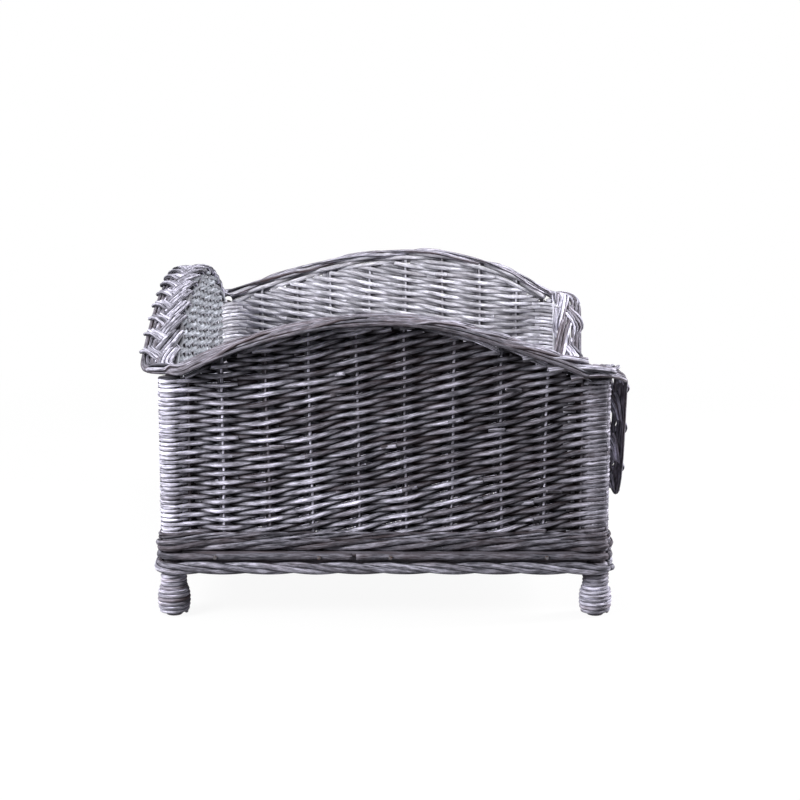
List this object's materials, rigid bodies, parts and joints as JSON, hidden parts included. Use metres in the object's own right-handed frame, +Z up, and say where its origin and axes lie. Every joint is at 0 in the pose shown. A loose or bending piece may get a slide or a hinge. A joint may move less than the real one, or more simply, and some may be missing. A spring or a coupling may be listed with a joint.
{
  "type": "wicker pet basket",
  "caption": "Grey-washed willow pet basket with arched sides and back, a low open front, a flared plaited border and short cane-wound feet.",
  "frame": {"origin": "on the floor, under the middle of the basket's bounding box", "axes": "+Z up, +X towards the low open front, +Y towards the right-hand wall as seen by someone who faces the open front"},
  "size_m": [0.488, 0.64, 0.316],
  "materials": {
    "willow": "grey-washed willow rods, matt",
    "border": "grey-washed willow rods, plaited, lighter on top",
    "base_rods": "grey-washed thick willow rods, matt",
    "cane": "grey-washed cane winding with a red-brown tint in places",
    "timber": "grey-washed sawn and turned softwood",
    "nail_steel": "dull steel, darkened"
  },
  "bodies": {
    "root": {"base_hoop_back": "base_rods", "base_hoop_front": "base_rods", "base_hoop_left_front": "base_rods", "base_hoop_left_rear": "base_rods", "base_hoop_right": "base_rods", "base_panel": "willow", "base_rail_back": "timber", "base_rail_front": "timber", "base_rail_left": "timber", "base_rail_right": "timber", "base_slat_left": "timber", "base_slat_right": "timber", "corner_post_back_left": "timber", "corner_post_back_right": "timber", "corner_post_front_left": "timber", "corner_post_front_right": "timber", "foot_wale_back": "base_rods", "foot_wale_front": "base_rods", "foot_wale_left": "base_rods", "foot_wale_right": "base_rods", "foot_winding_back_left": "cane", "foot_winding_back_right": "cane", "foot_winding_front_left": "cane", "foot_winding_front_right": "cane", "nail_back_1": "nail_steel", "nail_back_2": "nail_steel", "nail_back_3": "nail_steel", "nail_back_4": "nail_steel", "nail_front_1": "nail_steel", "nail_front_2": "nail_steel", "nail_front_3": "nail_steel", "nail_front_4": "nail_steel", "nail_left_1": "nail_steel", "nail_left_2": "nail_steel", "nail_left_3": "nail_steel", "nail_left_4": "nail_steel", "nail_right_1": "nail_steel", "nail_right_2": "nail_steel", "nail_right_3": "nail_steel", "nail_right_4": "nail_steel", "plaited_border_back": "border", "plaited_border_front": "border", "plaited_border_left": "border", "plaited_border_right": "border", "post_wrap_back_left": "willow", "post_wrap_back_right": "willow", "post_wrap_front_left": "willow", "post_wrap_front_right": "willow", "upset_wale_back": "base_rods", "upset_wale_front": "base_rods", "upset_wale_left": "base_rods", "upset_wale_right": "base_rods", "woven_wall_back": "willow", "woven_wall_front": "willow", "woven_wall_left": "willow", "woven_wall_right": "willow"}
  },
  "joints": []
}
